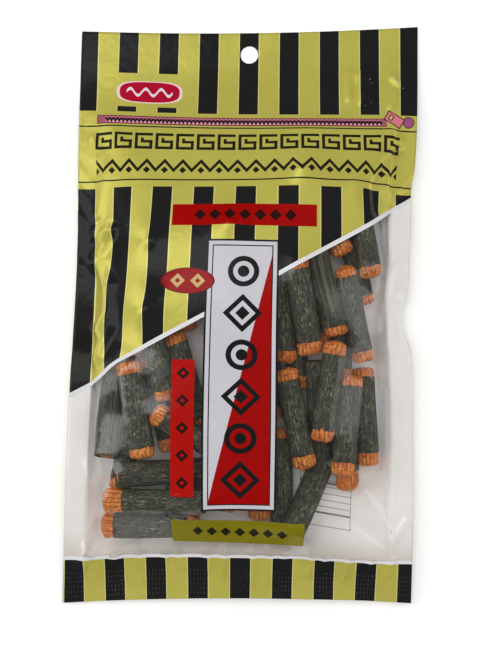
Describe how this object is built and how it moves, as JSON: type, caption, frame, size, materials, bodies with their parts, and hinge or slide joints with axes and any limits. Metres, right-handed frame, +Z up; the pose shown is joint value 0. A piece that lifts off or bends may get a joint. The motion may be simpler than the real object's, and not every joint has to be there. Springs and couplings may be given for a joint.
{
  "type": "pouch of seaweed-wrapped rice crackers",
  "caption": "Sealed, side-sealed film pouch of stick rice crackers wrapped in seaweed, with a diagonal clear window and a hang hole, lying on its back.",
  "frame": {"origin": "under the middle of the pouch, on the surface it lies on", "axes": "+X across the pouch to its right, +Y from the bottom seal to the hang hole, +Z up from the back to the printed front"},
  "size_m": [0.1524, 0.2612, 0.0246],
  "materials": {
    "printed_film": "metallised gold film with glossy black stripes",
    "clear_film": "clear glossy film, slightly hazy where it creases",
    "back_film": "white inside, gold and black striped outside",
    "seaweed": "dry, crinkled dark green-black seaweed sheet",
    "rice_cracker": "toasted orange rice cracker with a thin dry glaze"
  },
  "bodies": {
    "root": {"cracker_pouch": "printed_film"}
  },
  "joints": []
}
